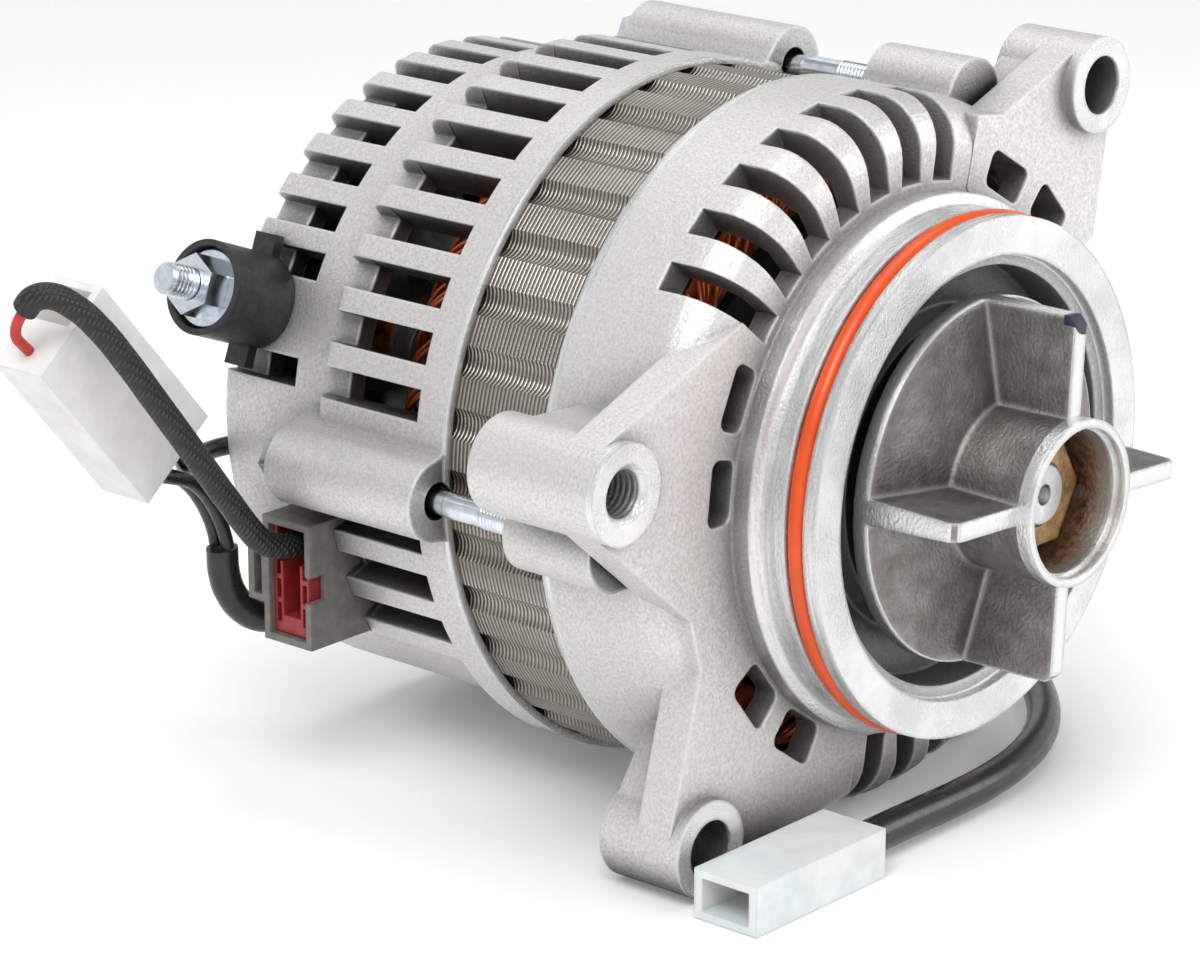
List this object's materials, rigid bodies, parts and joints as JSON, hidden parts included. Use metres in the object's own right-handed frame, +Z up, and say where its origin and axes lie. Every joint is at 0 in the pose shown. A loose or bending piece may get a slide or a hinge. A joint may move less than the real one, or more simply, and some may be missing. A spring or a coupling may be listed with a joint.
{
  "type": "motorcycle alternator",
  "caption": "Engine-driven alternator with finned casings, open stator core, O-ring pilot, three mounting bosses, vaned drive coupling, output stud, socket and two leads.",
  "frame": {"origin": "centre of the front face of the pilot spigot, on the shaft axis", "axes": "+Y along the shaft, from the drive coupling to the rear casing; +Z up, as it rests in the picture; +X to the right as seen from the drive end"},
  "size_m": [0.2024, 0.16, 0.1355],
  "materials": {
    "cast_alloy": "satin",
    "laminated_steel": "satin",
    "pole_steel": "satin",
    "copper_wire": "gloss",
    "orange_rubber": "gloss",
    "black_rubber": "matte",
    "bearing_steel": "satin",
    "zinc_steel": "gloss",
    "oiled_steel": "satin",
    "sheet_alloy": "satin",
    "black_plastic": "matte",
    "carbon": "matte",
    "grey_plastic": "matte",
    "red_plastic": "satin",
    "white_nylon": "satin",
    "black_braid": "matte",
    "wire_skin": "satin",
    "red_wire_skin": "satin"
  },
  "bodies": {
    "stationary": {"front_frame": "cast_alloy", "rear_frame": "cast_alloy", "stator_core": "laminated_steel", "stator_winding": "copper_wire", "pilot_o_ring": "orange_rubber", "front_seal": "black_rubber", "front_bearing_outer": "bearing_steel", "bearing_retainer": "zinc_steel", "retainer_screws": "zinc_steel", "rear_bearing_outer": "bearing_steel", "through_bolts": "zinc_steel", "rectifier_positive_plate": "sheet_alloy", "rectifier_negative_plate": "sheet_alloy", "rectifier_spacers": "black_plastic", "positive_diodes": "sheet_alloy", "negative_diodes": "sheet_alloy", "rectifier_screws": "zinc_steel", "terminal_strap": "copper_wire", "output_stud": "zinc_steel", "output_insulator": "black_plastic", "output_washer": "zinc_steel", "output_nut": "zinc_steel", "brush_holder": "black_plastic", "front_brush_spring": "zinc_steel", "rear_brush_spring": "zinc_steel", "voltage_regulator": "black_plastic", "regulator_screws": "zinc_steel", "socket_housing": "grey_plastic", "socket_insert": "red_plastic", "braided_cord": "black_braid", "red_lead": "red_wire_skin", "harness_connector": "white_nylon", "sense_wires": "wire_skin", "wire_sleeve": "black_rubber", "earth_wire": "wire_skin", "cord_grommet": "black_rubber", "sleeved_cord": "wire_skin", "lead_connector": "white_nylon"},
    "rotor": {"front_bearing_inner": "bearing_steel", "rotor_shaft": "bearing_steel", "claw_pole_front": "pole_steel", "claw_pole_rear": "pole_steel", "field_coil": "copper_wire", "front_fan": "pole_steel", "rear_fan": "pole_steel", "slip_ring_hub": "black_plastic", "slip_rings": "copper_wire", "shaft_spacer": "bearing_steel", "rear_bearing_inner": "bearing_steel", "drive_coupling": "cast_alloy", "coupling_washer": "oiled_steel", "coupling_nut": "oiled_steel"},
    "front_ball_set": {"front_bearing_balls": "bearing_steel"},
    "rear_ball_set": {"rear_bearing_balls": "bearing_steel"},
    "front_brush_body": {"front_brush": "carbon"},
    "rear_brush_body": {"rear_brush": "carbon"}
  },
  "joints": [
    {"name": "rotor_spin", "type": "hinge", "parent": "stationary", "child": "rotor", "pos_m": [0, 0, 0], "axis": [0, 1, 0], "continuous": true},
    {"name": "front_balls_spin", "type": "hinge", "parent": "stationary", "child": "front_ball_set", "pos_m": [0, 0.0212, 0], "axis": [0, 1, 0], "continuous": true},
    {"name": "rear_balls_spin", "type": "hinge", "parent": "stationary", "child": "rear_ball_set", "pos_m": [0, 0.1203, 0], "axis": [0, 1, 0], "continuous": true},
    {"name": "front_brush_slide", "type": "slide", "parent": "stationary", "child": "front_brush_body", "axis": [0, 0, 1], "range_m": [-0.004, 0], "stiffness_N_per_m": 300, "springref_m": 0.01, "deforming": ["front_brush_spring"]},
    {"name": "rear_brush_slide", "type": "slide", "parent": "stationary", "child": "rear_brush_body", "axis": [0, 0, 1], "range_m": [-0.004, 0], "stiffness_N_per_m": 300, "springref_m": 0.01, "deforming": ["rear_brush_spring"]}
  ],
  "couplings": [
    {"joint": "front_balls_spin", "follows": "rotor_spin", "ratio": 0.377},
    {"joint": "rear_balls_spin", "follows": "rotor_spin", "ratio": 0.38}
  ]
}
